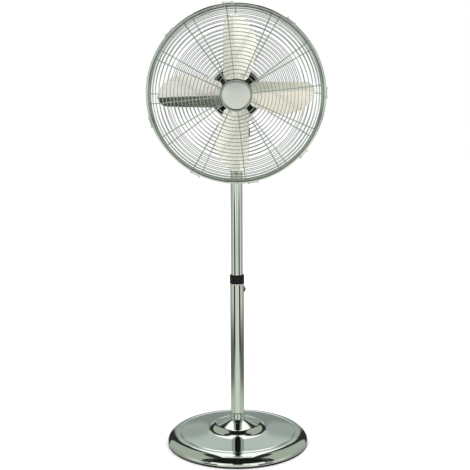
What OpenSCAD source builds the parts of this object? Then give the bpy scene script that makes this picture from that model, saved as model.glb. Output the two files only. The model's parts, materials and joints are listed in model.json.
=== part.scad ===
// Pedestal fan: chrome stand, telescopic pole, tilting and swinging head with a wire guard.
// Origin on the floor at the pole's axis, +Z up, and the fan blows towards -Y. Millimetres.

/* [Stand] */
// Radius of the round base
base_r = 190; // [186:1:200]
// Outer diameter of the lower tube
lower_tube_d = 36.5; // [36:0.5:37]
// Outer diameter of the upper, sliding tube
upper_tube_d = 31; // [30.6:0.2:31]
// Height of the top of the collar
collar_top = 467; // [440:1:500]
// Thickness of the spun base shell
shell_t = 1.2; // [1:0.1:1.5]

/* [Head] */
// Height of the fan's axis above the floor
axis_h = 950; // [930:5:990]
// Outer radius of the chrome rim of the guard
rim_r = 225; // [225:0.5:228]
// Spacing of the guard's rings
ring_pitch = 9.1; // [8.8:0.1:9.4]
// Diameter of the guard's ring wire
ring_d = 1.8; // [1.4:0.1:1.8]
// Width of the guard's spoke wire
spoke_d = 2.4; // [2:0.1:2.4]
// Number of spokes in each half of the guard
spokes = 12; // [8:1:16]

/* [Blades] */
// Number of blades
blades = 4; // [3:1:4]
// Thickness of the blade sheet
blade_t = 1.4; // [1:0.1:1.6]
// Turn of the blades at rest
blade_phase = -2; // [-20:1:20]

/* [Motor] */
// Outer radius of the motor housing
motor_r = 60; // [58:1:60]
// Diameter of the motor shaft
shaft_d = 8; // [7:0.5:8]

/* [Hidden] */
$fn = 72;
clip_angles = [0.5, 52.5, 95, 137, 197.7, 242.4, 280.6, 318.3];
clip_nodes = [for (i = [1:len(clip_angles)]) str("clip_lever_", i)];

// Stand
lower_r = lower_tube_d / 2;
upper_r = upper_tube_d / 2;
lower_bore_r = lower_r - 1.5;
ring_seat_z = 5;            // top of the rubber edge ring, where the shell's lip stands
shell_top_z = 68;           // highest part of the shell, under the ferrule
weight_z = 6;
weight_top = 27.8;
lower_tube_z = 28;
lower_tube_top = collar_top - 23;
upper_tube_z = 230;
lock_z = collar_top - 47;   // height of the lock screw
lock_azimuth = 62;          // the lock screw points back and to the right

// Neck
tilt_z = axis_h - 104;
yoke_top = tilt_z - 46;     // where the upper tube ends inside the yoke
ear_r = 14;
ear_in = 13;
ear_out = 20;
flange_top = tilt_z + 22;
rod_z = flange_top + 1;
boss_z = flange_top + 5.5;
foot_z = axis_h - 68;       // under side of the gear case's foot
rocker = 16;                // from the swivel axis to the link rod's fixed pin
crank = [-6, 48];           // axis of the output gear
crank_r = 10.3;
worm_wheel = [16.5, 42.1];  // axis of the worm gear
rod_end = [crank[0] - crank_r, crank[1]];

// Head, in r and forward distance f from the swivel axis
shaft_r = shaft_d / 2;
cover_split = -4;
plate_f = 51.3;
rear_f = 52;                // flat back of the rear guard
hoop_f = 95;
band_back = 89;
band_front = 111;
front_hoop_f = 112;
badge_f = 165;
crease_w = -12;             // the blade's crease, on its trailing side

function unit(v) = v / norm(v);
function normal_at(p, i) =
    let (d = unit(p[min(i + 1, len(p) - 1)] - p[max(i - 1, 0)])) [-d[1], d[0]];
function offset_path(p, t) = [for (i = [0:len(p) - 1]) p[i] + t * normal_at(p, i)];
function reversed(p) = [for (i = [len(p) - 1:-1:0]) p[i]];
// A path thickened to its left, as one closed outline
function ribbon(p, t) = concat(p, reversed(offset_path(p, t)));
function quarter(c, rx, ry, a0, a1, n) =
    [for (i = [0:n]) let (a = a0 + (a1 - a0) * i / n) [c[0] + rx * cos(a), c[1] + ry * sin(a)]];
// A closed smooth curve through the points, n steps to each
function smooth(p, n) = [for (i = [0:len(p) - 1], k = [0:n - 1])
    let (m = len(p), a = p[(i + m - 1) % m], b = p[i], c = p[(i + 1) % m], d = p[(i + 2) % m],
         t = k / n)
    0.5 * (2 * b + (c - a) * t + (2 * a - 5 * b + 4 * c - d) * t * t
        + (3 * b - a - 3 * c + d) * t * t * t)];
function gear_outline(teeth, tip, root) = [for (i = [0:teeth - 1], s = [0:3])
    let (a = 360 / teeth * (i + [0, 0.2, 0.45, 0.75][s]), r = [tip, tip, root, root][s])
    [r * cos(a), r * sin(a)]];

// Turns things drawn about Z so that they lie about the fan's axis, +Z forward
module on_fan_axis() { translate([0, 0, axis_h]) rotate([90, 0, 0]) children(); }
module about(n, phase = 0) { for (i = [0:n - 1]) rotate([0, 0, phase + 360 / n * i]) children(); }
module tube(ro, ri, h) { difference() { cylinder(r = ro, h = h);
    translate([0, 0, -1]) cylinder(r = ri, h = h + 2); } }
module revolve(p) { rotate_extrude() polygon(p); }
module hoop(r, f, d) { rotate_extrude($fn = 144) translate([r, f]) circle(d = d, $fn = 24); }
// A ring of the guards' thin wire, its section drawn with eight sides
module wire_ring(r, f) { revolve([for (a = [22.5:45:337.5]) [r, f] + 0.53 * ring_d * [cos(a), sin(a)]]); }
module lobed(r, lobes, depth, h) { difference() { cylinder(r = r, h = h);
    about(lobes) translate([r + depth, 0, -1]) cylinder(r = 2 * depth, h = h + 2); } }
module along_lock() { translate([0, 0, lock_z]) rotate([0, 0, lock_azimuth]) rotate([0, 90, 0])
    children(); }

// ---- Stand ----
shell_path = concat([[base_r, ring_seat_z]], quarter([base_r - 31, ring_seat_z + 1], 31, 25.5, 0, 90, 10),
    [[86, 38.7], [80, 39.9], [75, 41.9], [71, 44.3], [67.5, 47.4], [64.8, 50.6], [62.6, 52.9],
    [60, 54.4], [40, 60.9], [24, 66.2], [lower_r + 0.35, shell_top_z]]);
module base_shell() { color("silver") revolve(ribbon(shell_path, shell_t)); }
module base_weight() { color("dimgray") difference() {
    union() { translate([0, 0, weight_z]) cylinder(r = base_r - 65, h = 8);
        translate([0, 0, weight_z]) cylinder(r = 40, h = weight_top - weight_z); }
    cylinder(r = 4.2, h = 40);
    cylinder(r = 8, h = 12.6); } }
module base_plate() { color("darkgray") translate([0, 0, 4.4]) cylinder(r = base_r - 8.3, h = 1.4); }
module base_edge_ring() { color("black") revolve([[base_r - 8, 0], [base_r - 1, 0], [base_r, 1],
    [base_r, ring_seat_z - 0.1], [base_r - 8, ring_seat_z - 0.1]]); }
module base_bolt() { color("gray") { translate([0, 0, 6.4]) cylinder(r = 7, h = 6, $fn = 6);
    translate([0, 0, 12.4]) cylinder(r = 3.9, h = 40); } }
module stand_socket() { color("gray") translate([0, 0, lower_tube_z + 0.1])
    tube(lower_bore_r - 0.05, 3.95, 32); }
module foot_ferrule() { color("silver") revolve([[lower_r + 0.1, shell_top_z + 0.2],
    [lower_r + 2.2, shell_top_z + 0.2], [lower_r + 2.2, 79], [lower_r + 1.7, 80],
    [lower_r + 2.0, 81], [lower_r + 1.8, 84.6], [lower_r + 1.0, 85.6], [lower_r + 0.1, 85.6]]); }
module lower_tube() { color("silver") difference() {
    translate([0, 0, lower_tube_z]) tube(lower_r, lower_bore_r, lower_tube_top - lower_tube_z);
    along_lock() cylinder(r = 3.2, h = 30); } }
module collar() { color([0.08, 0.08, 0.08]) difference() {
    revolve([[0, lower_tube_top - 1], [lower_r + 0.8, lower_tube_top - 1],
        [lower_r + 1.1, lower_tube_top + 1], [lower_r + 1.1, collar_top - 3],
        [lower_r + 0.5, collar_top - 1], [lower_r - 0.6, collar_top], [0, collar_top]]);
    cylinder(r = upper_r + 0.3, h = collar_top + 1);
    cylinder(r = lower_r + 0.1, h = lower_tube_top + 0.1); } }
module collar_sleeve() { color("whitesmoke") translate([0, 0, lower_tube_top - 13])
    tube(lower_bore_r - 0.05, upper_r + 0.08, 12.9); }
module lock_nut() { color("gray") difference() {
    along_lock() translate([0, 0, lower_r - 3]) tube(6, 2.65, 6.2);
    cylinder(r = lower_r + 0.05, h = collar_top); } }

// ---- Height lock ----
module height_lock_screw() { color("gray") along_lock() {
    translate([0, 0, upper_r + 0.4]) cylinder(r = 2.55, h = 17); } }
module height_lock_knob() { color([0.1, 0.1, 0.1]) along_lock() difference() {
    union() { translate([0, 0, 21.8]) cylinder(r = 5, h = 4);
        translate([0, 0, 24]) lobed(8.8, 6, 1.6, 10.4);
        translate([0, 0, 34.4]) cylinder(r1 = 6.4, r2 = 5.2, h = 0.8); }
    translate([0, 0, 20]) cylinder(r = 2.6, h = 13); } }

// ---- Mast ----
module upper_tube() { color("silver") translate([0, 0, upper_tube_z])
    tube(upper_r, upper_r - 1.3, yoke_top - upper_tube_z); }
module mast_bush() { color("whitesmoke") translate([0, 0, upper_tube_z - 14]) difference() {
    union() { cylinder(r = lower_bore_r - 0.1, h = 13.9); cylinder(r = upper_r - 1.4, h = 30); }
    translate([0, 0, -1]) cylinder(r = upper_r - 4, h = 40); } }
module neck_yoke() { color([0.12, 0.12, 0.12]) difference() {
    union() {
        translate([0, 0, yoke_top - 36]) cylinder(r = ear_out, h = 44);
        translate([-ear_out, -ear_r, yoke_top + 6]) cube([2 * ear_out, 2 * ear_r, tilt_z - yoke_top - 6]);
        translate([-ear_out, 0, tilt_z]) rotate([0, 90, 0]) cylinder(r = ear_r, h = 2 * ear_out); }
    translate([0, 0, yoke_top - 37]) cylinder(r = upper_r + 0.05, h = 37.1);
    translate([-ear_in, -30, yoke_top + 16]) cube([2 * ear_in, 60, 80]);
    translate([-30, 0, tilt_z]) rotate([0, 90, 0]) cylinder(r = 3.05, h = 60); } }
module tilt_bolt() { color("gray") translate([0, 0, tilt_z]) rotate([0, 90, 0]) {
    translate([0, 0, -ear_out - 4.2]) cylinder(r = 5.5, h = 4, $fn = 6);
    translate([0, 0, -ear_out - 0.3]) cylinder(r = 3, h = 2 * ear_out + 12); } }
module tilt_knob() { color([0.1, 0.1, 0.1]) translate([ear_out + 0.4, 0, tilt_z]) rotate([0, 90, 0])
    difference() {
        union() { cylinder(r = 7, h = 4); translate([0, 0, 3]) lobed(12.5, 6, 2, 12); }
        translate([0, 0, -1]) cylinder(r = 3.05, h = 13.4); } }

// ---- Neck ----
module tilt_block() { color([0.12, 0.12, 0.12]) difference() {
    union() {
        translate([0.35 - ear_in, 0, tilt_z]) rotate([0, 90, 0]) cylinder(r = 13, h = 2 * ear_in - 0.7);
        translate([0, 0, tilt_z]) cylinder(r = 12.6, h = 18);
        translate([0, 0, tilt_z + 16]) cylinder(r = 22, h = 6);
        translate([-rocker, 0, flange_top - 1]) cylinder(r = 2, h = 6); }
    translate([-30, 0, tilt_z]) rotate([0, 90, 0]) cylinder(r = 3.1, h = 60);
    translate([0, 0, tilt_z + 6]) cylinder(r = 5, h = 30); } }
module swivel_pin() { color("silver") translate([0, 0, tilt_z + 6.1]) cylinder(r = 4.95, h = foot_z + 0.4 - tilt_z); }
module swivel_washer() { color("goldenrod") translate([0, 0, flange_top + 0.05]) tube(7, 5.05, 5.3); }
module link_rod() { color("gray") difference() {
    union() {
        translate([-rocker, 0, rod_z]) cylinder(r = 4, h = 3);
        translate([rod_end[0], rod_end[1], rod_z]) cylinder(r = 4.5, h = 3);
        translate([-rocker, 0, rod_z]) rotate([0, 0, atan2(rod_end[1], rod_end[0] + rocker)])
            translate([0, -2.5, 0]) cube([norm([rod_end[0] + rocker, rod_end[1]]), 5, 3]); }
    translate([-rocker, 0, 0]) cylinder(r = 2.06, h = axis_h);
    translate([rod_end[0], rod_end[1], 0]) cylinder(r = 2.1, h = axis_h); } }

// ---- Motor ----
module gear_case() { color("darkgray") difference() {
    union() {
        on_fan_axis() translate([0, 0, -14]) cylinder(r = motor_r - 3.5, h = 4);
        on_fan_axis() translate([0, 0, -20]) cylinder(r = 11, h = 7);
        translate([0, 0, boss_z]) cylinder(r = 12, h = foot_z - boss_z + 1);
        translate([-16, -14, foot_z]) cube([32, 80, 6]);
        translate([-13, 10, foot_z + 5]) cube([26, 56, 24]);
        translate([-28, 27, axis_h - 44]) cube([58, 42, 52]); }
    translate([-25, 29.5, axis_h - 39]) cube([52.5, 37, 60]);
    on_fan_axis() translate([0, 0, -80]) cylinder(r = 8.05, h = 90);
    on_fan_axis() screw_places() translate([0, 0, -20]) cylinder(r = 1.8, h = 20);
    translate([0, 0, boss_z - 1]) cylinder(r = 5.03, h = 40);
    translate([crank[0], crank[1], 0]) cylinder(r = 3.05, h = axis_h); } }
module screw_places() { about(4, 45) translate([53, 0, 0]) children(); }
front_cover_path = concat([[motor_r, cover_split], [motor_r, 26]],
    quarter([motor_r - 12, 26], 12, 12, 10, 90, 6), [[15, 38]]);
module motor_front_cover() { color([0.14, 0.14, 0.15]) on_fan_axis() difference() {
    union() { revolve(ribbon(front_cover_path, 2.4));
        screw_places() translate([0, 0, cover_split]) cylinder(r = 4, h = 20);
        translate([0, 0, 27]) tube(15, 8.05, 25); }
    screw_places() translate([0, 0, cover_split - 1]) cylinder(r = 1.7, h = 18);
    cooling_holes(); } }
module cooling_holes() { about(12, 15) translate([36, 0, 30]) cylinder(r = 4, h = 20); }
rear_cover_path = concat([[motor_r, cover_split - 0.3], [motor_r, -55]],
    quarter([motor_r - 38, -55], 38, 38, -6, -90, 10), [[0, -93]]);
module motor_rear_cover() { color([0.14, 0.14, 0.15]) difference() {
    on_fan_axis() revolve(ribbon(rear_cover_path, -2.2));
    translate([-16.5, 0, foot_z - 5]) cube([33, 68, 50]);
    on_fan_axis() {
        translate([0, -24, -100]) cylinder(r = 5.4, h = 30);
        about(10, 18) translate([18, -1.5, -100]) cube([18, 3, 30]); }
    translate([worm_wheel[0], worm_wheel[1], axis_h + 20]) cylinder(r = 3.4, h = 60);
    at_gland() translate([0, 0, -10]) cylinder(r = 5.2, h = 20); } }
// On the lower back of the housing's dome, square to it, with +Z inwards
module at_gland() { translate([0, 84.1, axis_h - 46.4]) rotate([50, 0, 0]) children(); }
module cover_screws() { color("gray") on_fan_axis() screw_places() {
    translate([0, 0, -14.2]) cylinder(r = 1.6, h = 24);
    translate([0, 0, -17.1]) cylinder(r = 3, h = 3); } }
module stator_core() { color("slategray") on_fan_axis() translate([0, 0, -6]) difference() {
    cylinder(r = 46, h = 24);
    translate([0, 0, -1]) cylinder(r = 23.4, h = 26);
    about(8, 22.5) translate([33, 0, -1]) cylinder(r = 5, h = 26); } }
module stator_windings() { color("peru") on_fan_axis() {
    translate([0, 0, 18.1]) tube(41, 25, 9);
    translate([0, 0, -9.5]) tube(41, 25, 3.4);
    about(8, 22.5) translate([33, 0, -6.05]) cylinder(r = 4.8, h = 24.1); } }
module front_bearing() { color("goldenrod") on_fan_axis() translate([0, 0, 30]) tube(8, shaft_r + 0.04, 20); }
module rear_bearing() { color("goldenrod") on_fan_axis() translate([0, 0, -20]) tube(8, shaft_r + 0.04, 8); }
module capacitor() { color("ivory") translate([-40, 20, axis_h + 18]) cube([24, 40, 14]); }
module speed_switch() { color("ivory") on_fan_axis() translate([0, -24, -89.3])
    { translate([-14, -8, 4]) cube([28, 16, 5.5]); translate([0, 0, -13]) cylinder(r = 3, h = 17.1); } }
module speed_knob() { color([0.1, 0.1, 0.1]) on_fan_axis() translate([0, -24, -108]) difference() {
    lobed(11, 10, 0.8, 12.5);
    translate([0, 0, 3]) cylinder(r = 3.05, h = 12); } }
module cable_gland() { color([0.08, 0.08, 0.08]) at_gland() difference() {
    union() { translate([0, 0, -9]) cylinder(r = 5, h = 13.5);
        translate([0, 0, -3.2]) cylinder(r = 7.5, h = 3); }
    translate([0, 0, -20]) cylinder(r = 3, h = 30); } }
module oscillation_knob() { color([0.1, 0.1, 0.1]) translate([worm_wheel[0], worm_wheel[1], 0]) {
    translate([0, 0, axis_h + 22]) cylinder(r = 3, h = 50);
    translate([0, 0, axis_h + 68]) cylinder(r = 8, h = 10); } }

// ---- Rotor ----
module rotor_core() { color("slategray") on_fan_axis() translate([0, 0, -5]) tube(23, shaft_r + 0.02, 22); }
module motor_shaft() { color("silver") on_fan_axis() translate([0, 0, -64]) cylinder(r = shaft_r, h = 205); }
module drive_worm() { color("gainsboro") on_fan_axis() translate([0, 0, -53]) difference() {
    union() { cylinder(r = 5.2, h = 20);
        for (i = [0:5]) translate([0, 0, 1 + 3.2 * i]) cylinder(r = 6, h = 1.4); }
    translate([0, 0, -1]) cylinder(r = shaft_r + 0.02, h = 22); } }
module worm_gear() { color("whitesmoke") translate([worm_wheel[0], worm_wheel[1], 0]) {
    translate([0, 0, axis_h - 4]) linear_extrude(8) polygon(gear_outline(20, 10.2, 9));
    translate([0, 0, axis_h - 36]) linear_extrude(9) polygon(gear_outline(9, 5, 3.8));
    translate([0, 0, axis_h - 38.8]) cylinder(r = 2.5, h = 56); } }
module output_gear() { color("whitesmoke") translate([crank[0], crank[1], 0]) {
    translate([0, 0, axis_h - 36]) linear_extrude(6) polygon(gear_outline(36, 18, 16.8));
    translate([0, 0, boss_z]) cylinder(r = 3, h = axis_h - 34 - boss_z);
    translate([0, 0, boss_z]) cylinder(r = 13, h = 3);
    translate([-crank_r, 0, rod_z + 3.4]) cylinder(r = 2, h = 2); } }

// ---- Guard ----
function front_f(r) = 160 - 10 * pow(r / 190, 2);
shoulder = quarter([190, front_hoop_f], rim_r - 199.4, front_f(190) - front_hoop_f, 90, 0, 5);
front_profile = concat([for (r = [33:12:189]) [r, front_f(r)]], shoulder);
rear_profile = concat([for (r = [58:20:158]) [r, rear_f]],
    quarter([165, hoop_f], rim_r - 169, rear_f - hoop_f, 90, 0, 8));
module spoke(path, t, phase) { about(spokes, phase) rotate([90, 0, 0])
    linear_extrude(spoke_d, center = true) polygon(ribbon(path, t)); }
module guard_plate() { color("dimgray") on_fan_axis() difference() {
    revolve(ribbon([[15.3, 38.3], [48, 38.3], [58, plate_f - 1], [60, plate_f], [66, plate_f]], 1.2));
    cooling_holes(); } }
module rear_guard() { color("silver") on_fan_axis() {
    for (r = [68:ring_pitch + 0.3:163]) wire_ring(r, rear_f);
    for (i = [1:7]) let (a = 90 - 11.25 * i)
        wire_ring(165 + (rim_r - 169) * cos(a), hoop_f + (rear_f - hoop_f) * sin(a));
    hoop(rim_r - 4, hoop_f, 5);
    spoke(offset_path(rear_profile, ring_d / 2 - 0.25), spoke_d, 0); } }
module guard_nut() { color([0.1, 0.1, 0.1]) on_fan_axis() translate([0, 0, 39.7]) difference() {
    lobed(27, 16, 1, 10);
    translate([0, 0, -1]) cylinder(r = 15.06, h = 12); } }
module rim_band() { color("silver") on_fan_axis() union() {
    revolve([[rim_r - 1.2, band_back], [rim_r, band_back], [rim_r, band_front], [rim_r - 1.2, band_front]]);
    hoop(rim_r - 3.5, band_front, 7); } }
module front_guard() { color("silver") on_fan_axis() {
    for (r = [53:ring_pitch:190]) wire_ring(r, front_f(r));
    for (i = [1:4]) wire_ring(shoulder[i][0], shoulder[i][1]);
    hoop(rim_r - 9.4, front_hoop_f, 4);
    translate([0, 0, 155.5]) tube(37, 25, 1.5);
    spoke(offset_path(front_profile, -ring_d / 2 + 0.25), -spoke_d, 6); } }
module badge_rim() { color("silver") on_fan_axis()
    revolve([[34.8, 159.2], [39.6, 159.2], [40.2, 160.6], [39.6, 163], [37.6, badge_f], [35.4, 164.4], [34.8, 162.5]]); }
module front_badge() { color("lightgray") on_fan_axis()
    revolve([[0, 159.4], [34.6, 159.4], [34.6, 162.2], [30, 162.9], [20, 163.6], [10, 164], [0, 164.1]]); }

// ---- Rim clips ----
clip_pin_r = rim_r + 3.4;
clip_turn = 3;              // the pin sits this far round from the clip's middle
clip_reach = 6.4;           // angle that the lever covers
module at_clip(a) { on_fan_axis() rotate([0, 0, a + clip_turn]) children(); }
module clip_bracket() {
    difference() {
        translate([rim_r + 0.1, -3.5, 94]) cube([0.7, 7, 14]);
        cylinder(r = rim_r + 0.05, h = 200, $fn = 144); }
    for (f = [94, 106]) translate([rim_r + 0.5, -1.7, f]) cube([2.9, 3.4, 2]);
    for (f = [94, 106]) translate([clip_pin_r, 0, f]) cylinder(r = 1.7, h = 2);
    translate([clip_pin_r, 0, 94.5]) cylinder(r = 0.8, h = 13); }
module clip_brackets() { color("silver") for (a = clip_angles) at_clip(a) union() { clip_bracket(); } }
clip_strip = concat([[clip_pin_r - 0.7, 0]], [for (i = [1:8]) let (a = -clip_reach * i / 8)
    [(rim_r + 2.4) * cos(a), (rim_r + 2.4) * sin(a)]]);
module clip_lever(a) { color("gainsboro") at_clip(a) difference() {
    union() {
        translate([clip_pin_r, 0, 96.3]) cylinder(r = 1.7, h = 9.4);
        translate([0, 0, 96.3]) linear_extrude(9.4) polygon(ribbon(clip_strip, -1.3));
        rotate([0, 0, -clip_reach]) {
            translate([rim_r + 1.2, 0, 96.3]) cube([1.3, 5, 20.7]);
            translate([rim_r - 5, 0, 115.2]) cube([7.5, 5, 1.8]); } }
    translate([clip_pin_r, 0, 90]) cylinder(r = 0.86, h = 30); } }

// ---- Blades ----
// The outline seen from the front, with the blade along +X, leading side towards -Y
blade_outline = [[40, 30], [90, 34], [140, 35.5], [174, 35], [186, 29], [196, 13], [192, -6],
    [180, -21], [163, -35], [125, -46], [85, -42], [55, -32], [39, -24], [36, 4]];
// Forward distance of the cambered face, at s from 0 at the crease to 1 past the leading edge
function sheet_f(s) = 112 - 25 * s + 5 * s * s;
// The sheet's section across its width: the cambered face, and a steeper strip behind the crease
blade_section = concat([for (i = [8:-1:0]) let (s = i / 8)
    [-crease_w - 62 * s, sheet_f(s)]], [[18, 115.6], [26, 121.6], [38, 131]]);
module blade_sheet(lift, t) { rotate([90, 0, 90]) linear_extrude(200)
    polygon(ribbon(offset_path(blade_section, lift), t)); }
module fan_blades() { color([0.93, 0.9, 0.82]) on_fan_axis() about(blades, blade_phase)
    difference() {
        intersection() { blade_sheet(0, blade_t);
            translate([0, 0, 80]) linear_extrude(60) polygon(smooth(blade_outline, 4)); }
        at_rivets() translate([0, 0, -6]) cylinder(r = 2.1, h = 12); } }
// Three rivets at the root of a blade, clear of the crease and square to the sheet
module at_rivets() { for (p = [[60, 2], [46, -12], [46, 4]])
    let (s = (-p[1] - crease_w) / 62)
    translate([p[0], p[1], sheet_f(s)]) rotate([atan((25 - 10 * s) / 62), 0, 0]) children(); }
module blade_hub() { color("silver") on_fan_axis() difference() {
    union() {
        translate([0, 0, 94]) cylinder(r = 15, h = 32);
        about(blades, blade_phase) intersection() { blade_sheet(-0.15, -2.2);
            translate([0, 0, 80]) linear_extrude(60)
                polygon([[4, -13], [50, -19], [66, -4], [66, 8], [50, 9], [4, 9]]); } }
    translate([0, 0, 80]) cylinder(r = shaft_r + 0.02, h = 80);
    about(blades, blade_phase) at_rivets() translate([0, 0, -6]) cylinder(r = 2.1, h = 12); } }
module blade_rivets() { color("gainsboro") on_fan_axis() about(blades, blade_phase) at_rivets() {
    translate([0, 0, -3.4]) cylinder(r = 2.05, h = 5.2);
    translate([0, 0, blade_t + 0.05]) cylinder(r1 = 3.6, r2 = 2.4, h = 1.5); } }
module blade_nut() { color("gray") on_fan_axis() translate([0, 0, 126.2]) tube(10, shaft_r + 0.04, 10); }

base_shell();
base_weight();
base_plate();
base_edge_ring();
base_bolt();
stand_socket();
foot_ferrule();
lower_tube();
collar();
collar_sleeve();
lock_nut();
height_lock_screw();
height_lock_knob();
upper_tube();
mast_bush();
neck_yoke();
tilt_bolt();
tilt_knob();
tilt_block();
swivel_pin();
swivel_washer();
link_rod();
gear_case();
motor_front_cover();
motor_rear_cover();
cover_screws();
stator_core();
stator_windings();
front_bearing();
rear_bearing();
capacitor();
speed_switch();
speed_knob();
cable_gland();
rotor_core();
motor_shaft();
drive_worm();
worm_gear();
output_gear();
oscillation_knob();
guard_plate();
rear_guard();
guard_nut();
rim_band();
front_guard();
front_badge();
badge_rim();
clip_brackets();
blade_hub();
fan_blades();
blade_rivets();
blade_nut();
for (i = [0:len(clip_angles) - 1])
    clip_lever(clip_angles[i]);
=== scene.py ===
"""Looks of the pedestal fan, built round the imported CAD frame. Metres, +Z up, the fan blows towards -Y."""
import json
import math

import bmesh
import bpy
from mathutils import Matrix, Vector

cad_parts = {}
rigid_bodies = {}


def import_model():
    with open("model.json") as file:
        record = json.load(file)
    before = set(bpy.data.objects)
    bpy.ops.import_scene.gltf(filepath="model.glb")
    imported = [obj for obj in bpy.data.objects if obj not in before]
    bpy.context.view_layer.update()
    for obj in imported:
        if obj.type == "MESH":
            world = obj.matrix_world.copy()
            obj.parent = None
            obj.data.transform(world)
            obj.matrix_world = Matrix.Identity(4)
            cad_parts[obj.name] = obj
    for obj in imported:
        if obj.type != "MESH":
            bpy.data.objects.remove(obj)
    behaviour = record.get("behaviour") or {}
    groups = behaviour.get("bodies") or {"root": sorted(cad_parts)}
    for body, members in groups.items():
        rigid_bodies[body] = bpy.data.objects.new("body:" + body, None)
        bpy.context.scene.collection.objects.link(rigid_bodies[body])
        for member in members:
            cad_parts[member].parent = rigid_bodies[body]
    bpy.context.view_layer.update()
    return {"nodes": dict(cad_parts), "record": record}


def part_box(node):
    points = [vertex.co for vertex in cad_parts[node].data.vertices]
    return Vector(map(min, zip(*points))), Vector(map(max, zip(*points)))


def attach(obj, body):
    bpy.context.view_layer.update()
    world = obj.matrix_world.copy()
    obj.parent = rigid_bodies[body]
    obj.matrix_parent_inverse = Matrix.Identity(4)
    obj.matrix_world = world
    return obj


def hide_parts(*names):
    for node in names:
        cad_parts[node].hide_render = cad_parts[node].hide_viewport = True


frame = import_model()
nodes = frame["nodes"]
MM = 0.001

# ---------------------------------------------------------------- places taken from the frame
rim_lo, rim_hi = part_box("rim_band")
AXIS_Z = (rim_lo.z + rim_hi.z) / 2
RIM_R = -rim_lo.x
BASE_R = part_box("base_edge_ring")[1].x
LOWER_LO, LOWER_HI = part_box("lower_tube")
LOWER_R = LOWER_HI.x
UPPER_LO, UPPER_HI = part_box("upper_tube")
UPPER_R = UPPER_HI.x
COLLAR_LO, COLLAR_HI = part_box("collar")

# ---------------------------------------------------------------- sizes of the pieces made here
# "_F" is a distance forward of the swivel, "_R" a radius; angles are in degrees
SHELL_T = 1.2
SPOKES = 12
FRONT_SPOKE_PHASE = 6.0
REAR_SPOKE_PHASE = 0.0
RING_R = 0.9 * MM
SPOKE_R = 1.2 * MM
WELD = RING_R + SPOKE_R - 0.25 * MM
FRONT_PITCH = 9.1 * MM
REAR_PITCH = 9.4 * MM
FRONT_FLAT_R = 190 * MM
FRONT_CROWN_F = 160 * MM
FRONT_HOOP_F = 112 * MM
FRONT_HOOP_R = RIM_R - 9.4 * MM
REAR_FLAT_R = 165 * MM
REAR_F = 52 * MM
HOOP_F = 95 * MM
HOOP_R = RIM_R - 4 * MM
BADGE_F = 165 * MM
BADGE_R = 34.6 * MM
BADGE_CROWN_F = 164.1 * MM
BADGE_BACK_F = 159.4 * MM
BLADES = 4
BLADE_PHASE = -2.0
BLADE_START = 36
BLADE_LENGTH = 160.2
BLADE_THICKNESS = 1.4
CREASE_F = 112
# Rows and columns of the blade's mesh: along it, across the strip behind the crease, across the main face
BLADE_ROWS = 45
STRIP_COLUMNS = 12
FACE_COLUMNS = 18


# ---------------------------------------------------------------- geometry helpers
def fan_point(r, angle, f):
    """A point at radius r and f forward of the swivel, angle (radians) from +X as seen from the front."""
    return Vector((r * math.cos(angle), -f, AXIS_Z + r * math.sin(angle)))


def mm(points):
    return [(r * MM, h * MM) for r, h in points]


def make_mesh(name, verts, faces, material, body, replaces=(), sharp=35):
    """A smooth-shaded piece, creased where faces meet at more than sharp degrees, riding on its body."""
    mesh = bpy.data.meshes.new(name)
    mesh.from_pydata([tuple(v) for v in verts], [], faces)
    mesh.validate()
    shape = bmesh.new()
    shape.from_mesh(mesh)
    bmesh.ops.recalc_face_normals(shape, faces=shape.faces)
    shape.to_mesh(mesh)
    shape.free()
    piece = bpy.data.objects.new(name, mesh)
    bpy.context.scene.collection.objects.link(piece)
    mesh.materials.append(material)
    mesh.shade_smooth()
    mesh.set_sharp_from_angle(angle=math.radians(sharp))
    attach(piece, body)
    if replaces:
        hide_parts(*replaces)
    return piece


def revolve(profile, place, segments=144):
    """Vertices and faces of a closed (r, h) outline turned about an axis by place(r, angle, h)."""
    verts, faces = [], []
    count = len(profile)
    for i in range(segments):
        angle = 2 * math.pi * i / segments
        verts += [place(r, angle, h) for r, h in profile]
    for i in range(segments):
        a, b = i * count, (i + 1) % segments * count
        for k in range(count):
            n = (k + 1) % count
            faces.append((a + k, b + k, b + n, a + n))
    return verts, faces


def upright(r, angle, h):
    return Vector((r * math.cos(angle), r * math.sin(angle), h))


def facing(r, angle, h):
    return fan_point(r, -angle, h)


def turned(name, profile, place, material, body, replaces=(), segments=144, sharp=35):
    """A lathe piece from a closed outline."""
    verts, faces = revolve(profile, place, segments)
    return make_mesh(name, verts, faces, material, body, replaces, sharp=sharp)


def rounded(points, radius, steps=4):
    """The closed outline with each corner cut by a short arc."""
    out = []
    count = len(points)
    for i, p in enumerate(points):
        p = Vector(p)
        before, after = Vector(points[i - 1]) - p, Vector(points[(i + 1) % count]) - p
        cut = min(radius, before.length * 0.45, after.length * 0.45)
        start, end = p + before.normalized() * cut, p + after.normalized() * cut
        for k in range(steps + 1):
            t = k / steps
            out.append(tuple((1 - t) ** 2 * start + 2 * t * (1 - t) * p + t * t * end))
    return out


def arc(centre, rx, ry, a0, a1, steps):
    """Points round an ellipse from angle a0 to a1."""
    angles = [math.radians(a0 + (a1 - a0) * i / steps) for i in range(steps + 1)]
    return [(centre[0] + rx * math.cos(a), centre[1] + ry * math.sin(a)) for a in angles]


def offset(path, distance):
    """The open path moved to its left."""
    out = []
    for i, p in enumerate(path):
        a, b = Vector(path[max(i - 1, 0)]), Vector(path[min(i + 1, len(path) - 1)])
        d = (b - a).normalized()
        out.append((p[0] - d.y * distance, p[1] + d.x * distance))
    return out


def thickened(path, thickness):
    """The open path and its copy moved to its left, as one closed outline."""
    return list(path) + offset(path, thickness)[::-1]


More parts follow.
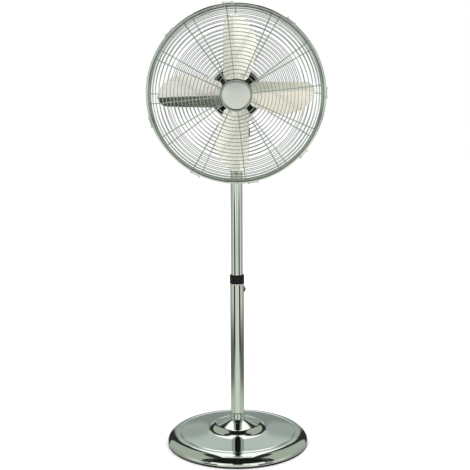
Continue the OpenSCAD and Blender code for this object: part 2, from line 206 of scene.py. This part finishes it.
def rod(points, radius, sides=10, closed=False):
    """A round wire along points: vertices and faces, with flat ends unless it is closed."""
    verts, faces = [], []
    count = len(points)
    side = None
    for i, p in enumerate(points):
        a = points[i - 1] if closed or i else points[0]
        b = points[(i + 1) % count] if closed or i < count - 1 else points[-1]
        along = (b - a).normalized()
        if side is None:
            side = along.orthogonal().normalized()
        side = (side - along * side.dot(along)).normalized()
        up = along.cross(side)
        for k in range(sides):
            t = 2 * math.pi * k / sides
            verts.append(p + radius * (math.cos(t) * side + math.sin(t) * up))
    for i in range(count if closed else count - 1):
        a, b = i * sides, (i + 1) % count * sides
        for k in range(sides):
            n = (k + 1) % sides
            faces.append((a + k, a + n, b + n, b + k))
    if not closed:
        faces.append(tuple(range(sides))[::-1])
        faces.append(tuple(range((count - 1) * sides, count * sides)))
    return verts, faces


class Parts:
    """Gathers several closed shapes for one mesh."""

    def __init__(self):
        self.verts, self.faces = [], []

    def add(self, verts, faces):
        start = len(self.verts)
        self.verts += list(verts)
        self.faces += [tuple(start + i for i in f) for f in faces]

    def ring(self, r, f, wire, segments=180, sides=10):
        """A hoop of round wire about the fan's axis."""
        points = [fan_point(r, 2 * math.pi * i / segments, f) for i in range(segments)]
        centre = fan_point(0, 0, f)
        verts, faces = [], []
        for p in points:
            out = (p - centre).normalized()
            for k in range(sides):
                t = 2 * math.pi * k / sides
                verts.append(p + wire * (math.cos(t) * out + math.sin(t) * Vector((0, -1, 0))))
        for i in range(segments):
            a, b = i * sides, (i + 1) % segments * sides
            for k in range(sides):
                n = (k + 1) % sides
                faces.append((a + k, b + k, b + n, a + n))
        self.add(verts, faces)


# ---------------------------------------------------------------- materials
class Nodes:
    """A short way to wire a material's nodes."""

    def __init__(self, name):
        self.material = bpy.data.materials.new(name)
        self.material.use_nodes = True
        self.tree = self.material.node_tree
        self.shader = self.tree.nodes["Principled BSDF"]

    def node(self, kind, **values):
        made = self.tree.nodes.new(kind)
        for key, value in values.items():
            if hasattr(made, key):
                setattr(made, key, value)
            else:
                made.inputs[key.replace("_", " ")].default_value = value
        return made

    def link(self, source, target):
        self.tree.links.new(source, target)

    def coords(self, scale=(1, 1, 1), kind="Object"):
        mapping = self.node("ShaderNodeMapping")
        mapping.inputs["Scale"].default_value = scale
        self.link(self.node("ShaderNodeTexCoord").outputs[kind], mapping.inputs["Vector"])
        return mapping.outputs["Vector"]

    def noise(self, vector, scale, detail=3.0, roughness=0.55):
        made = self.node("ShaderNodeTexNoise")
        made.inputs["Scale"].default_value = scale
        made.inputs["Detail"].default_value = detail
        made.inputs["Roughness"].default_value = roughness
        self.link(vector, made.inputs["Vector"])
        return made.outputs["Fac"]

    def spread(self, value, low, high, at=(0.3, 0.7)):
        made = self.node("ShaderNodeMapRange")
        made.inputs["From Min"].default_value = at[0]
        made.inputs["From Max"].default_value = at[1]
        made.inputs["To Min"].default_value = low
        made.inputs["To Max"].default_value = high
        self.link(value, made.inputs["Value"])
        return made.outputs["Result"]

    def tint(self, value, low, high):
        made = self.node("ShaderNodeMix", data_type="RGBA")
        made.inputs["A"].default_value = (*low, 1)
        made.inputs["B"].default_value = (*high, 1)
        self.link(value, made.inputs["Factor"])
        self.link(made.outputs["Result"], self.shader.inputs["Base Color"])

    def bump(self, value, strength, distance):
        made = self.node("ShaderNodeBump")
        made.inputs["Strength"].default_value = strength
        made.inputs["Distance"].default_value = distance
        self.link(value, made.inputs["Height"])
        self.link(made.outputs["Normal"], self.shader.inputs["Normal"])

    def constants(self, **values):
        for key, value in values.items():
            self.shader.inputs[key.replace("_", " ")].default_value = value
        return self


def chrome(name, low_rough, high_rough, dark, light):
    """Bright plating: faint smears in its roughness and a trace of tone."""
    m = Nodes(name).constants(Metallic=1.0)
    vector = m.coords()
    smears = m.noise(vector, 14, 4.0)
    m.link(m.spread(smears, low_rough, high_rough), m.shader.inputs["Roughness"])
    m.tint(m.noise(vector, 6), dark, light)
    m.bump(m.noise(vector, 24, 2.0), 0.006, 0.0003)
    return m.material


def brushed(name, scale, dark, light, rough, strength=0.08, anisotropic=0.3):
    """Satin metal with fine lines along U or V, whichever has the smaller scale."""
    m = Nodes(name).constants(Metallic=1.0, Anisotropic=anisotropic)
    vector = m.coords(scale, "UV")
    lines = m.noise(vector, 1.0, 4.0, 0.6)
    m.link(m.spread(lines, rough[0], rough[1]), m.shader.inputs["Roughness"])
    m.tint(m.spread(lines, 0.0, 1.0), dark, light)
    m.bump(lines, strength, 0.0003)
    return m.material


def moulded(name, dark, light, rough, grain=900, strength=0.15):
    """Moulded plastic or rubber with a fine spark-eroded texture."""
    m = Nodes(name).constants(Specular_IOR_Level=0.22)
    vector = m.coords()
    m.tint(m.spread(m.noise(vector, 40), 0.0, 1.0), dark, light)
    m.link(m.spread(m.noise(vector, 60), rough[0], rough[1]), m.shader.inputs["Roughness"])
    m.bump(m.noise(vector, grain, 2.0), strength, 0.0002)
    return m.material


def painted(name, dark, light, rough):
    """Satin paint with slight orange peel."""
    m = Nodes(name).constants(Coat_Weight=0.25, Coat_Roughness=0.2)
    vector = m.coords()
    m.tint(m.spread(m.noise(vector, 25), 0.0, 1.0), dark, light)
    m.link(m.spread(m.noise(vector, 50), rough[0], rough[1]), m.shader.inputs["Roughness"])
    m.bump(m.noise(vector, 350, 1.0), 0.1, 0.0002)
    return m.material


def bare_metal(name, dark, light, rough, grain=120, strength=0.1):
    """Cast, rolled or wound metal, uneven in tone and polish."""
    m = Nodes(name).constants(Metallic=1.0)
    vector = m.coords()
    m.tint(m.spread(m.noise(vector, 30), 0.0, 1.0), dark, light)
    m.link(m.spread(m.noise(vector, grain), rough[0], rough[1]), m.shader.inputs["Roughness"])
    m.bump(m.noise(vector, grain * 3), strength, 0.0002)
    return m.material


CHROME = chrome("chrome", 0.015, 0.04, (0.70, 0.745, 0.71), (0.77, 0.81, 0.78))
WIRE_CHROME = chrome("wire_chrome", 0.06, 0.14, (0.46, 0.54, 0.51), (0.58, 0.65, 0.62))
BEZEL_CHROME = chrome("bezel_chrome", 0.10, 0.20, (0.34, 0.41, 0.38), (0.42, 0.49, 0.46))
BLADE_METAL = brushed("blade_metal", (9, 300, 1), (0.93, 0.90, 0.825), (0.99, 0.965, 0.905), (0.19, 0.25),
                      0.03, 0.15)
BADGE_METAL = brushed("badge_metal", (260, 3, 1), (0.82, 0.845, 0.82), (0.92, 0.94, 0.92), (0.3, 0.42))
BLACK_PLASTIC = moulded("black_plastic", (0.004, 0.004, 0.0045), (0.010, 0.010, 0.011), (0.3, 0.42))
COLLAR_BLACK = moulded("collar_black", (0.003, 0.003, 0.0035), (0.007, 0.007, 0.008), (0.25, 0.35),
                       strength=0.05)
WHITE_PLASTIC = moulded("white_plastic", (0.70, 0.69, 0.65), (0.80, 0.79, 0.75), (0.35, 0.5))
RUBBER = moulded("rubber", (0.010, 0.010, 0.010), (0.022, 0.022, 0.022), (0.6, 0.8), 500, 0.3)
DARK_PAINT = painted("dark_paint", (0.020, 0.021, 0.023), (0.034, 0.035, 0.038), (0.32, 0.45))
STEEL = bare_metal("steel", (0.42, 0.43, 0.44), (0.62, 0.62, 0.63), (0.22, 0.4))
CAST_ALLOY = bare_metal("cast_alloy", (0.40, 0.41, 0.42), (0.56, 0.57, 0.58), (0.4, 0.6), 200, 0.3)
BRONZE = bare_metal("bearing_bronze", (0.50, 0.33, 0.16), (0.66, 0.46, 0.25), (0.3, 0.45))
COPPER = bare_metal("winding_copper", (0.16, 0.065, 0.03), (0.26, 0.12, 0.06), (0.35, 0.5), 600, 0.4)
RIVET = bare_metal("rivet", (0.80, 0.78, 0.72), (0.88, 0.86, 0.80), (0.3, 0.4))
IRON = bare_metal("weight_iron", (0.08, 0.08, 0.085), (0.16, 0.16, 0.165), (0.6, 0.8), 90, 0.6)
SLOT_MATERIALS = {
    "chrome": CHROME, "blade_metal": BLADE_METAL, "badge_metal": BADGE_METAL, "steel": STEEL,
    "dark_paint": DARK_PAINT, "black_plastic": BLACK_PLASTIC, "white_plastic": WHITE_PLASTIC,
    "bearing_bronze": BRONZE, "winding_copper": COPPER, "cast_alloy": CAST_ALLOY, "rubber": RUBBER,
    "weight_iron": IRON,
}
for part in frame["record"]["subparts"]:
    data = nodes[part["node"]].data
    data.materials.clear()
    data.materials.append(SLOT_MATERIALS[part["material_slot"]])
nodes["blade_rivets"].data.materials[0] = RIVET


# ---------------------------------------------------------------- stand
def make_stand():
    """The turned pieces of the base and the pole, in millimetres up to mm()."""
    base = BASE_R / MM
    lower = LOWER_R / MM
    upper = UPPER_R / MM
    rolled_edge = [(base, 5.0)] + arc((base - 31, 6.0), 31, 25.5, 0, 88, 22)
    groove = [(158.4, 31.2), (157.4, 30.85), (156.4, 30.95), (155.2, 31.55)]
    flat = [(152, 32.1), (120, 35.3), (92, 38.1)]
    step = [(86, 38.9), (80, 40.0), (75, 41.9), (71, 44.3), (67.5, 47.4), (64.8, 50.6), (63.8, 51.8),
            (62.6, 52.9), (61.4, 53.8), (60, 54.4), (58, 55.1)]
    cone = [(40, 60.9), (24, 66.2), (lower + 0.35, 68)]
    shell = rolled_edge + groove + flat + step + cone
    turned("base_shell_skin", mm(thickened(shell, SHELL_T)), upright, CHROME, "stand",
           ["base_shell"], 192, 25)
    ring = rounded([(base - 8, 0), (base, 0), (base, 4.9), (base - 8, 4.9)], 0.9)
    turned("base_edge_trim", mm(ring), upright, RUBBER, "stand", ["base_edge_ring"], 192)
    top = 68.2
    ferrule = [(lower + 0.1, top), (lower + 2.2, top), (lower + 2.2, 79), (lower + 1.7, 80),
               (lower + 2.0, 81), (lower + 1.9, 84.0), (lower + 1.0, 85.6), (lower + 0.1, 85.6)]
    turned("foot_collar", mm(rounded(ferrule, 0.5)), upright, CHROME, "stand", ["foot_ferrule"])
    for name, node, body, lo, hi, wall in (
            ("lower_pole", "lower_tube", "stand", LOWER_LO, LOWER_HI, 1.5),
            ("upper_pole", "upper_tube", "mast", UPPER_LO, UPPER_HI, 1.3)):
        r, low, high = hi.x / MM, lo.z / MM, hi.z / MM
        # the extra points near the ends keep the shading of the long wall straight
        outline = [(r - wall, low), (r, low), (r, low + 4), (r, high - 4), (r, high), (r - wall, high)]
        turned(name, mm(rounded(outline, 0.4, 2)), upright, CHROME, body, [node], 128)
    low, high = COLLAR_LO.z / MM, COLLAR_HI.z / MM
    grip = [(upper + 0.3, low + 1.2), (lower + 0.1, low + 1.2), (lower + 0.1, low), (lower + 0.8, low),
            (lower + 1.1, low + 1.6), (lower + 1.1, low + 7), (lower + 0.7, low + 7.6),
            (lower + 0.7, low + 8.4), (lower + 1.1, low + 9), (lower + 1.1, high - 3.4),
            (lower + 0.4, high - 0.9),
            (lower - 0.6, high), (upper + 0.3, high)]
    turned("collar_cap", mm(rounded(grip, 0.4, 3)), upright, COLLAR_BLACK, "stand",
           ["collar"], 128)


# ---------------------------------------------------------------- guard
def front_f(r):
    """How far forward the slightly domed front grille is at radius r."""
    return FRONT_CROWN_F - 10 * MM * (r / FRONT_FLAT_R) ** 2


def spoke_wires(parts, path, phase):
    for i in range(SPOKES):
        angle = math.radians(phase + 360 / SPOKES * i)
        parts.add(*rod([fan_point(r, angle, f) for r, f in path], SPOKE_R, 10))


def make_front_guard():
    front = Parts()
    shoulder = arc((FRONT_FLAT_R, FRONT_HOOP_F), FRONT_HOOP_R - FRONT_FLAT_R,
                   front_f(FRONT_FLAT_R) - FRONT_HOOP_F, 90, 0, 20)
    r = 53 * MM
    while r < FRONT_FLAT_R:
        front.ring(r, front_f(r), RING_R)
        r += FRONT_PITCH
    for i in (4, 8, 12, 16):
        front.ring(*shoulder[i], RING_R)
    front.ring(FRONT_HOOP_R, FRONT_HOOP_F, 2 * MM)
    radii = [(33 + 13 * i) * MM for i in range(12)]
    profile = [(r, front_f(r)) for r in radii] + shoulder[:-2]
    spoke_wires(front, offset(profile, -WELD), FRONT_SPOKE_PHASE)
    centre_plate = mm([(25, 155.5), (37, 155.5), (37, 157), (25, 157)])
    front.add(*revolve(rounded(centre_plate, 0.3 * MM, 2), facing, 96))
    make_mesh("front_guard_wires", front.verts, front.faces, WIRE_CHROME, "head", ["front_guard"],
              sharp=60)


def make_rear_guard():
    rear = Parts()
    bend = arc((REAR_FLAT_R, HOOP_F), HOOP_R - REAR_FLAT_R, REAR_F - HOOP_F, 90, 0, 24)
    r = 68 * MM
    while r < REAR_FLAT_R - 2 * MM:
        rear.ring(r, REAR_F, RING_R)
        r += REAR_PITCH
    for i in range(3, 24, 3):
        rear.ring(*bend[i], RING_R)
    rear.ring(HOOP_R, HOOP_F, 2.5 * MM)
    profile = [((58 + 12.5 * i) * MM, REAR_F) for i in range(9)] + bend[:-2]
    spoke_wires(rear, offset(profile, WELD), REAR_SPOKE_PHASE)
    make_mesh("rear_guard_wires", rear.verts, rear.faces, WIRE_CHROME, "head", ["rear_guard"],
              sharp=60)


def make_rim():
    """The bright hoop round both guards: a thin band rolled into a bead at its front."""
    back, front = 89 * MM, 111 * MM
    bead_r, inner_r = 3.5 * MM, RIM_R - 1.2 * MM
    bead = arc((RIM_R - bead_r, front), bead_r, bead_r, -20, 250, 22)
    outline = [(inner_r, back), (RIM_R, back)] + bead + [(inner_r, front - 4 * MM)]
    turned("rim_hoop", outline, facing, CHROME, "head", ["rim_band"], 240, 40)


def make_bezel():
    ring = mm([(34.8, 159.2), (39.6, 159.2), (40.2, 160.6), (40.0, 162.0), (39.0, 163.8),
               (37.6, BADGE_F / MM), (35.6, 164.7), (34.8, 162.8)])
    turned("badge_bezel", rounded(ring, 0.5 * MM, 2), facing, BEZEL_CHROME, "head", ["badge_rim"],
           128, 60)


def make_badge():
    """The plain turned disc: rings of vertices out from the centre, UV by radius and angle."""
    rings, segments = 14, 96
    dome, edge_drop = 1.9 * MM, 0.4 * MM
    verts, faces = [fan_point(0, 0, BADGE_CROWN_F)], []
    for i in range(1, rings + 1):
        f = BADGE_CROWN_F - dome * (i / rings) ** 2
        if i == rings:
            f -= edge_drop
        verts += [fan_point(BADGE_R * i / rings, 2 * math.pi * k / segments, f) for k in range(segments)]
    verts += [fan_point(BADGE_R, 2 * math.pi * k / segments, BADGE_BACK_F) for k in range(segments)]
    verts.append(fan_point(0, 0, BADGE_BACK_F))
    for k in range(segments):
        n = (k + 1) % segments
        faces.append((0, 1 + k, 1 + n))
        for i in range(rings):
            a, b = 1 + i * segments, 1 + (i + 1) * segments
            faces.append((a + k, b + k, b + n, a + n))
        last = 1 + rings * segments
        faces.append((last + n, last + k, len(verts) - 1))
    piece = make_mesh("badge_disc", verts, faces, BADGE_METAL, "head", ["front_badge"],
                      sharp=50)
    layer = piece.data.uv_layers.new(name="turned")
    for polygon in piece.data.polygons:
        centre = polygon.center
        middle = math.atan2(centre.z - AXIS_Z, centre.x)
        for loop in polygon.loop_indices:
            co = piece.data.vertices[piece.data.loops[loop].vertex_index].co
            r = math.hypot(co.x, co.z - AXIS_Z)
            a = math.atan2(co.z - AXIS_Z, co.x) if r > 1e-6 else middle
            a += 2 * math.pi * round((middle - a) / (2 * math.pi))
            layer.data[loop].uv = (r / BADGE_R, a / (2 * math.pi))


# ---------------------------------------------------------------- blades
# The blade's outline: distance along the blade, then trailing and leading reach across it (millimetres)
BLADE_OUTLINE = [(36, -26, 22), (39, -30, 27), (48, -33, 31), (60, -34.5, 35.5), (85, -34.5, 42.5),
                 (110, -35, 46), (130, -35.5, 46.3), (150, -35.5, 41.5), (165, -35.4, 33.5),
                 (177, -34.6, 23.5), (184, -31.5, 16.2), (189, -27, 10), (193, -22, 3.5), (195.6, -16, -5),
                 (196.2, -12, -9.6)]


def between(table, x, column):
    """A smooth value from the table at x (Catmull-Rom through its rows)."""
    i = 0
    while i < len(table) - 2 and x > table[i + 1][0]:
        i += 1
    p0, p1 = table[max(i - 1, 0)], table[i]
    p2, p3 = table[i + 1], table[min(i + 2, len(table) - 1)]
    t = (x - p1[0]) / (p2[0] - p1[0])
    m1 = (p2[column] - p0[column]) / (p2[0] - p0[0]) * (p2[0] - p1[0])
    m2 = (p3[column] - p1[column]) / (p3[0] - p1[0]) * (p2[0] - p1[0])
    return ((2 * t ** 3 - 3 * t * t + 1) * p1[column] + (t ** 3 - 2 * t * t + t) * m1
            + (3 * t * t - 2 * t ** 3) * p2[column] + (t ** 3 - t * t) * m2)


def crease_at(u):
    """Where the crease crosses the blade at distance u along it."""
    return -7 - 9 * (u - BLADE_START) / 160


def blade_depth(u, w):
    """Forward distance of the blade's back face: cambered in front of the crease, steeper behind it."""
    crease = crease_at(u)
    twist = 1.08 - 0.16 * (u - BLADE_START) / 160
    if w >= crease:
        s = (w - crease) / 62
        return CREASE_F - twist * (26 * s - 6 * s * s)
    return CREASE_F + 0.72 * (crease - w) * twist


def blade_mesh(angle):
    """Vertices, faces and UVs of one blade turned by angle, and the number of its columns."""
    last = BLADE_ROWS - 1
    stations = [BLADE_START + BLADE_LENGTH * (i / last) ** 0.93 for i in range(BLADE_ROWS)]
    back, uvs = [], []
    for u in stations:
        low, high = between(BLADE_OUTLINE, u, 1), between(BLADE_OUTLINE, u, 2)
        crease = min(max(crease_at(u), low + 0.3), high - 0.3)
        row = [low + (crease - low) * k / STRIP_COLUMNS for k in range(STRIP_COLUMNS)]
        row += [crease + (high - crease) * k / FACE_COLUMNS for k in range(FACE_COLUMNS + 1)]
        back.append([Vector((u, -w, blade_depth(u, w))) for w in row])
        uvs.append([(u / 200, w / 200) for w in row])
    rows, cols = BLADE_ROWS, STRIP_COLUMNS + FACE_COLUMNS + 1
    verts, faces = [], []
    front = []
    for i in range(rows):
        line = []
        for k in range(cols):
            along = back[min(i + 1, rows - 1)][k] - back[max(i - 1, 0)][k]
            across = back[i][min(k + 1, cols - 1)] - back[i][max(k - 1, 0)]
            normal = along.cross(across).normalized()
            line.append(back[i][k] + normal * (-BLADE_THICKNESS if normal.z < 0 else BLADE_THICKNESS))
        front.append(line)
    turn = Matrix.Rotation(angle, 3, "Z")

    def place(p):
        q = turn @ p
        return Vector((q.x * MM, -q.z * MM, AXIS_Z + q.y * MM))

    for sheet in (back, front):
        for line in sheet:
            verts += [place(p) for p in line]
    size = rows * cols
    for i in range(rows - 1):
        for k in range(cols - 1):
            a, b, c, d = i * cols + k, (i + 1) * cols + k, (i + 1) * cols + k + 1, i * cols + k + 1
            faces.append((a, b, c, d))
            faces.append((size + d, size + c, size + b, size + a))
    edge = [i * cols for i in range(rows)] + [(rows - 1) * cols + k for k in range(1, cols)]
    edge += [i * cols + cols - 1 for i in range(rows - 2, -1, -1)] + [k for k in range(cols - 2, 0, -1)]
    for j, a in enumerate(edge):
        b = edge[(j + 1) % len(edge)]
        faces.append((b, a, size + a, size + b))
    return verts, faces, uvs, cols


def make_blades():
    for i in range(BLADES):
        verts, faces, uvs, cols = blade_mesh(math.radians(BLADE_PHASE + 360 / BLADES * i))
        piece = make_mesh(f"blade_{i + 1}", verts, faces, BLADE_METAL, "rotor",
                          ["fan_blades"] if i == 0 else (), sharp=45)
        layer = piece.data.uv_layers.new(name="along")
        size = len(verts) // 2
        for loop in piece.data.loops:
            v = loop.vertex_index % size
            layer.data[loop.index].uv = uvs[v // cols][v % cols]
        edge = piece.modifiers.new("rolled_edge", "BEVEL")
        edge.width = 0.35 * MM
        edge.segments = 2
        edge.limit_method = "ANGLE"
        edge.angle_limit = math.radians(60)


# ---------------------------------------------------------------- camera, lights and floor
def make_camera():
    down, lean = math.radians(8.76), math.radians(-0.28)
    data = bpy.data.cameras.new("camera")
    data.sensor_width = 36
    data.lens = 78.6
    data.shift_x = -0.0036
    data.shift_y = -0.0547
    camera = bpy.data.objects.new("camera", data)
    bpy.context.scene.collection.objects.link(camera)
    camera.location = (0, -2.682, 1.056)
    turn = Matrix.Rotation(math.radians(90) - down, 4, "X") @ Matrix.Rotation(lean, 4, "Z")
    camera.rotation_euler = turn.to_euler()
    bpy.context.scene.camera = camera


class WorldNodes(Nodes):
    """The same short ways for the world's nodes."""

    def __init__(self):
        world = bpy.data.worlds.new("studio")
        bpy.context.scene.world = world
        world.use_nodes = True
        self.tree = world.node_tree
        self.background = self.tree.nodes["Background"]

    def math(self, operation, a, b=None):
        """A sum of sockets or numbers; b is left out where the operation takes one value."""
        made = self.node("ShaderNodeMath", operation=operation)
        for socket, value in zip(made.inputs, (a, b)):
            if value is None:
                continue
            if isinstance(value, (int, float)):
                socket.default_value = value
            else:
                self.link(value, socket)
        return made.outputs[0]

    def step(self, value, low, high, soft=1.5):
        """1 where value lies between low and high, with soft edges."""
        rise = self.node("ShaderNodeMapRange", interpolation_type="SMOOTHSTEP")
        fall = self.node("ShaderNodeMapRange", interpolation_type="SMOOTHSTEP")
        for made, a, b in ((rise, low - soft, low + soft), (fall, high + soft, high - soft)):
            made.inputs["From Min"].default_value = a
            made.inputs["From Max"].default_value = b
            self.link(value, made.inputs["Value"])
        return self.math("MULTIPLY", rise.outputs["Result"], fall.outputs["Result"])

    def over(self, under, patch, colour):
        """The colour laid over what is under it, as far as patch says."""
        made = self.node("ShaderNodeMix", data_type="RGBA")
        self.link(patch, made.inputs["Factor"])
        self.link(under, made.inputs["A"])
        made.inputs["B"].default_value = (*colour, 1)
        return made.outputs["Result"]


# What the chrome sees of the studio. Azimuth is measured from the camera's side, 0, to behind the fan, 180,
# the same on the left and the right; height is measured from the horizon. Both are in degrees.
BLACK, DARK, WHITE = (0.012, 0.013, 0.010), (0.03, 0.033, 0.028), (1.3, 1.3, 1.27)
WALLS = ((0, (0.60, 0.62, 0.56)), (12, (0.68, 0.70, 0.64)), (45, (0.52, 0.54, 0.48)),
         (72, (0.80, 0.82, 0.77)), (98, (0.40, 0.43, 0.37)), (135, (0.43, 0.47, 0.41)),
         (160, (0.50, 0.545, 0.49)))
# Each patch: azimuth from, to, height from, to, softness of its edges, colour. Later ones cover earlier ones
PATCHES = (
    (60, 142, 3, 61, 2, (0.45, 0.495, 0.415)), (50, 60, 4, 66, 1.5, DARK), (-1, 181, 61, 95, 1.5, DARK),
    (143, 165, -16, 60, 2, DARK), (163, 181, 3, 16, 4, (0.27, 0.305, 0.29)),
    (163, 181, 16, 27, 4, (0.39, 0.435, 0.41)), (160, 181, 27, 36, 3, (0.56, 0.62, 0.585)),
    (-1, 50, 5, 95, 1.5, BLACK), (8, 43, -3, 16, 2, (1.05, 1.05, 1.02)),
    (-1, 34, -24, -11, 1.5, (0.74, 0.77, 0.66)), (50, 140, -19, -15, 1.5, (0.15, 0.17, 0.14)),
    (32, 56, -17, -8, 1, BLACK), (20, 32, -10, 3, 1.5, WHITE), (34, 181, -24, -19, 1, (0.55, 0.58, 0.52)),
    (-1, 181, -57, -27, 3, (1.05, 1.01, 0.93)), (-1, 181, -95, -57, 1.5, (0.84, 0.85, 0.79)),
)


def make_world():
    """A studio seen in the chrome: grey-green walls, dark gaps between them and a long softbox overhead."""
    w = WorldNodes()
    xyz = w.node("ShaderNodeSeparateXYZ")
    w.link(w.node("ShaderNodeTexCoord").outputs["Generated"], xyz.inputs[0])
    turn = w.math("ABSOLUTE", w.math("ARCTAN2", xyz.outputs["X"], w.math("MULTIPLY", xyz.outputs["Y"], -1.0)))
    azimuth = w.math("MULTIPLY", turn, 180 / math.pi)
    height = w.math("MULTIPLY", w.math("ARCSINE", xyz.outputs["Z"]), 180 / math.pi)
    ramp = w.node("ShaderNodeValToRGB")
    while len(ramp.color_ramp.elements) < len(WALLS):
        ramp.color_ramp.elements.new(0.5)
    for element, (place, colour) in zip(ramp.color_ramp.elements, WALLS):
        element.position = place / 180
        element.color = (*colour, 1)
    w.link(w.math("MULTIPLY", azimuth, 1 / 180), ramp.inputs["Fac"])
    seen = ramp.outputs["Color"]
    for left, right, low, high, soft, colour in PATCHES:
        patch = w.math("MULTIPLY", w.step(azimuth, left, right, soft), w.step(height, low, high, soft))
        seen = w.over(seen, patch, colour)
    across = w.step(w.math("ABSOLUTE", xyz.outputs["X"]), -1, 0.23, 0.02)
    along = w.step(xyz.outputs["Y"], -0.04, 0.78, 0.02)
    overhead = w.math("MULTIPLY", w.math("MULTIPLY", across, along), w.step(xyz.outputs["Z"], 0.2, 2, 0.02))
    seen = w.over(seen, overhead, WHITE)
    # matt surfaces and the camera see plain white, so that only the chrome shows the patches
    path = w.node("ShaderNodeLightPath")
    seen = w.over(seen, path.outputs["Is Diffuse Ray"], (1.10, 1.10, 1.095))
    seen = w.over(seen, path.outputs["Is Camera Ray"], (1.0, 1.0, 1.0))
    w.link(seen, w.background.inputs["Color"])


def soft_light(name, place, target, size, power):
    """A square lamp that the chrome doesn't mirror."""
    data = bpy.data.lights.new(name, "AREA")
    data.shape = "SQUARE"
    data.size = size
    data.energy = power
    light = bpy.data.objects.new(name, data)
    bpy.context.scene.collection.objects.link(light)
    light.location = place
    light.rotation_euler = (Vector(target) - Vector(place)).to_track_quat("-Z", "Y").to_euler()
    light.visible_glossy = False
    return light


def make_blade_cards():
    """White cards that light the blades alone and show in their satin metal."""
    lit = bpy.data.collections.new("lit_by_blade_cards")
    for piece in bpy.data.objects:
        if piece.name.startswith("blade_") and piece.type == "MESH":
            lit.objects.link(piece)
    for name, place, size, power in (("card_above", (0, -1.42, 1.52), 1.15, 4.1),
                                     ("card_left", (-1.36, -0.85, 0.95), 1.7, 3.6),
                                     ("card_right", (1.36, -0.85, 0.95), 1.7, 3.6)):
        card = soft_light(name, place, (0, 0, 0.95), size, power)
        card.visible_glossy = True
        card.visible_camera = False
        card.light_linking.receiver_collection = lit


def make_floor():
    m = Nodes("floor").constants(Roughness=0.9, Specular_IOR_Level=0.1)
    m.tint(m.noise(m.coords(), 3), (0.93, 0.935, 0.93), (0.96, 0.965, 0.96))
    reach = 9.0
    mesh = bpy.data.meshes.new("floor")
    mesh.from_pydata([(-reach, -reach, 0), (reach, -reach, 0), (reach, reach, 0), (-reach, reach, 0)], [],
                     [(0, 1, 2, 3)])
    mesh.materials.append(m.material)
    floor = bpy.data.objects.new("floor", mesh)
    bpy.context.scene.collection.objects.link(floor)
    # just under the base, so that the two faces don't fight
    floor.location.z = -0.0005
    floor.visible_glossy = False


def make_studio():
    make_world()
    middle = (0, 0, 0.6)
    soft_light("key", (-1.6, -2.6, 3.0), middle, 1.6, 26)
    soft_light("fill", (2.4, -1.4, 2.2), middle, 1.8, 14)
    soft_light("back", (0.6, 2.8, 2.8), middle, 1.8, 22)
    make_blade_cards()
    make_floor()
    bpy.context.scene.view_settings.view_transform = "Standard"


make_stand()
make_front_guard()
make_rear_guard()
make_rim()
make_bezel()
make_badge()
make_blades()
make_camera()
make_studio()
